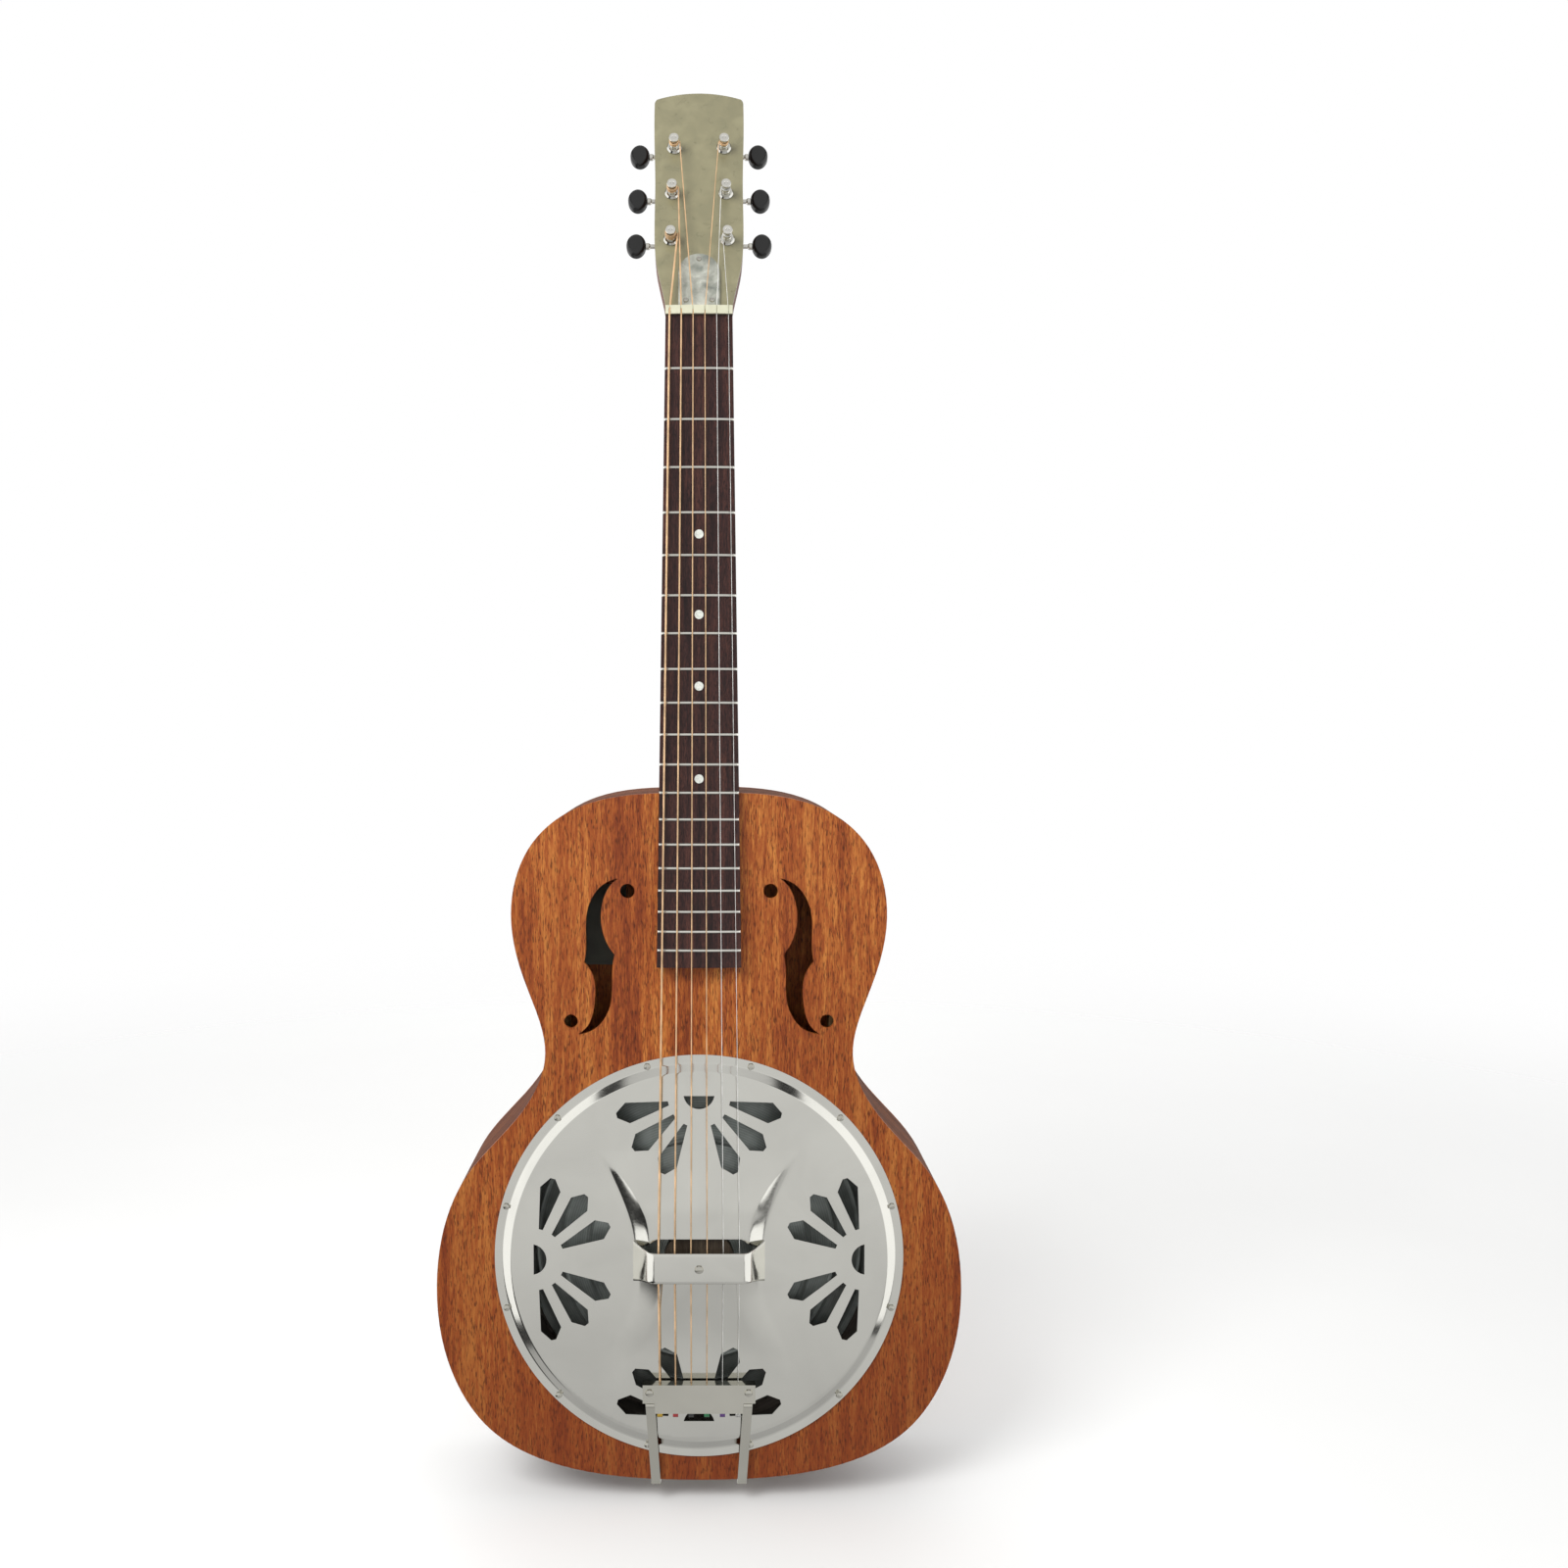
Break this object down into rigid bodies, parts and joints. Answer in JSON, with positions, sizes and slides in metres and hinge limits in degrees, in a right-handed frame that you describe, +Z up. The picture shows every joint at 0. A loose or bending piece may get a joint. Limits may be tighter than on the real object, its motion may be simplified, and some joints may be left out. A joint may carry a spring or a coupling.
{
  "type": "resonator guitar",
  "caption": "Round-neck resonator guitar: mahogany body with f-holes, a spun cone under a fanned metal cover plate, trapeze tailpiece and worm-geared tuning machines.",
  "frame": {"origin": "under the outer end of the strap button, at the middle of the whole object's width and depth", "axes": "+Z up the neck to the headstock, -Y out of the soundboard towards the listener, +X towards the treble strings"},
  "size_m": [0.359, 0.1155, 0.9725],
  "materials": {
    "top_mahogany": "open-pore satin mahogany, quarter grain with darker streaks",
    "back_mahogany": "open-pore satin mahogany",
    "side_mahogany": "bent satin mahogany with long grain round the ribs",
    "neck_mahogany": "satin stained mahogany",
    "inner_wood": "raw sawn spruce and mahogany, unfinished",
    "well_plywood": "raw maple plywood",
    "label_paper": "plain dark paper",
    "spun_aluminium": "thin spun sheet with fine turning marks",
    "maple": "hard maple stained dark brown, bare and dry",
    "zinc_screw": "zinc plated",
    "nickel_plate": "bright nickel plate",
    "nickel_sheet": "nickel plated sheet, slightly satin",
    "nickel_screw": "nickel plated, polished heads",
    "cream_pearloid": "aged cream pearloid, satin gloss",
    "white_pearloid": "white and grey pearloid, gloss",
    "rosewood": "oiled dark rosewood with open pores",
    "fret_wire": "polished nickel silver",
    "pearl_dot": "pearl",
    "bone": "polished bone",
    "rod_steel": "drawn bar",
    "bronze_string": "phosphor bronze winding",
    "steel_string": "plain drawn wire",
    "ball_end": "lacquered in a colour for each string",
    "gear_brass": "cut teeth, satin",
    "post_nickel": "nickel plated post with its string wound on",
    "worm_steel": "nickel plated steel shaft with a cut worm",
    "black_button": "moulded black, polished"
  },
  "bodies": {
    "guitar": {"soundboard": "top_mahogany", "back_panel": "back_mahogany", "side_bass": "side_mahogany", "side_treble": "side_mahogany", "neck_block": "inner_wood", "tail_block": "inner_wood", "linings": "inner_wood", "braces_and_posts": "inner_wood", "inner_label": "label_paper", "soundwell_ring": "well_plywood", "cone": "spun_aluminium", "biscuit": "maple", "biscuit_screw": "zinc_screw", "saddle": "maple", "coverplate": "nickel_plate", "coverplate_screws": "nickel_screw", "tailpiece_plate": "nickel_sheet", "tailpiece_straps": "nickel_sheet", "tailpiece_screws": "nickel_screw", "tail_bracket": "nickel_sheet", "strap_button": "nickel_plate", "neck": "neck_mahogany", "headstock_veneer": "cream_pearloid", "fingerboard": "rosewood", "frets": "fret_wire", "position_dots": "pearl_dot", "nut": "bone", "truss_rod": "rod_steel", "truss_rod_cover": "white_pearloid", "truss_cover_screws": "nickel_screw", "wound_strings": "bronze_string", "plain_strings": "steel_string", "string_ball_ends": "ball_end", "tuner_baseplates": "nickel_sheet", "tuner_bushings": "nickel_plate", "tuner_screws": "nickel_screw"},
    "machine_1_post": {"tuner_post_1": "post_nickel", "tuner_gear_1": "gear_brass"},
    "machine_1_key": {"tuner_shaft_1": "worm_steel", "tuner_button_1": "black_button"},
    "machine_2_post": {"tuner_post_2": "post_nickel", "tuner_gear_2": "gear_brass"},
    "machine_2_key": {"tuner_shaft_2": "worm_steel", "tuner_button_2": "black_button"},
    "machine_3_post": {"tuner_post_3": "post_nickel", "tuner_gear_3": "gear_brass"},
    "machine_3_key": {"tuner_shaft_3": "worm_steel", "tuner_button_3": "black_button"},
    "machine_4_post": {"tuner_post_4": "post_nickel", "tuner_gear_4": "gear_brass"},
    "machine_4_key": {"tuner_shaft_4": "worm_steel", "tuner_button_4": "black_button"},
    "machine_5_post": {"tuner_post_5": "post_nickel", "tuner_gear_5": "gear_brass"},
    "machine_5_key": {"tuner_shaft_5": "worm_steel", "tuner_button_5": "black_button"},
    "machine_6_post": {"tuner_post_6": "post_nickel", "tuner_gear_6": "gear_brass"},
    "machine_6_key": {"tuner_shaft_6": "worm_steel", "tuner_button_6": "black_button"}
  },
  "joints": [
    {"name": "key_1_turn", "type": "hinge", "parent": "guitar", "child": "machine_1_key", "pos_m": [-0.019, 0.01082, 0.86623], "axis": [-1, 0, 0], "continuous": true},
    {"name": "post_1_turn", "type": "hinge", "parent": "guitar", "child": "machine_1_post", "pos_m": [-0.019, -0.00977, 0.86247], "axis": [0, -0.9681, 0.2504], "continuous": true},
    {"name": "key_2_turn", "type": "hinge", "parent": "guitar", "child": "machine_2_key", "pos_m": [-0.0182, 0.01961, 0.90021], "axis": [-1, 0, 0], "continuous": true},
    {"name": "post_2_turn", "type": "hinge", "parent": "guitar", "child": "machine_2_post", "pos_m": [-0.0182, -0.00098, 0.89645], "axis": [0, -0.9681, 0.2504], "continuous": true},
    {"name": "key_3_turn", "type": "hinge", "parent": "guitar", "child": "machine_3_key", "pos_m": [-0.017, 0.0284, 0.93419], "axis": [-1, 0, 0], "continuous": true},
    {"name": "post_3_turn", "type": "hinge", "parent": "guitar", "child": "machine_3_post", "pos_m": [-0.017, 0.0078, 0.93043], "axis": [0, -0.9681, 0.2504], "continuous": true},
    {"name": "key_4_turn", "type": "hinge", "parent": "guitar", "child": "machine_4_key", "pos_m": [0.019, 0.01082, 0.86623], "axis": [1, 0, 0], "continuous": true},
    {"name": "post_4_turn", "type": "hinge", "parent": "guitar", "child": "machine_4_post", "pos_m": [0.019, -0.00977, 0.86247], "axis": [0, -0.9681, 0.2504], "continuous": true},
    {"name": "key_5_turn", "type": "hinge", "parent": "guitar", "child": "machine_5_key", "pos_m": [0.0182, 0.01961, 0.90021], "axis": [1, 0, 0], "continuous": true},
    {"name": "post_5_turn", "type": "hinge", "parent": "guitar", "child": "machine_5_post", "pos_m": [0.0182, -0.00098, 0.89645], "axis": [0, -0.9681, 0.2504], "continuous": true},
    {"name": "key_6_turn", "type": "hinge", "parent": "guitar", "child": "machine_6_key", "pos_m": [0.017, 0.0284, 0.93419], "axis": [1, 0, 0], "continuous": true},
    {"name": "post_6_turn", "type": "hinge", "parent": "guitar", "child": "machine_6_post", "pos_m": [0.017, 0.0078, 0.93043], "axis": [0, -0.9681, 0.2504], "continuous": true}
  ],
  "couplings": [
    {"joint": "post_1_turn", "follows": "key_1_turn", "ratio": 0.071429},
    {"joint": "post_2_turn", "follows": "key_2_turn", "ratio": 0.071429},
    {"joint": "post_3_turn", "follows": "key_3_turn", "ratio": 0.071429},
    {"joint": "post_4_turn", "follows": "key_4_turn", "ratio": 0.071429},
    {"joint": "post_5_turn", "follows": "key_5_turn", "ratio": 0.071429},
    {"joint": "post_6_turn", "follows": "key_6_turn", "ratio": 0.071429}
  ]
}
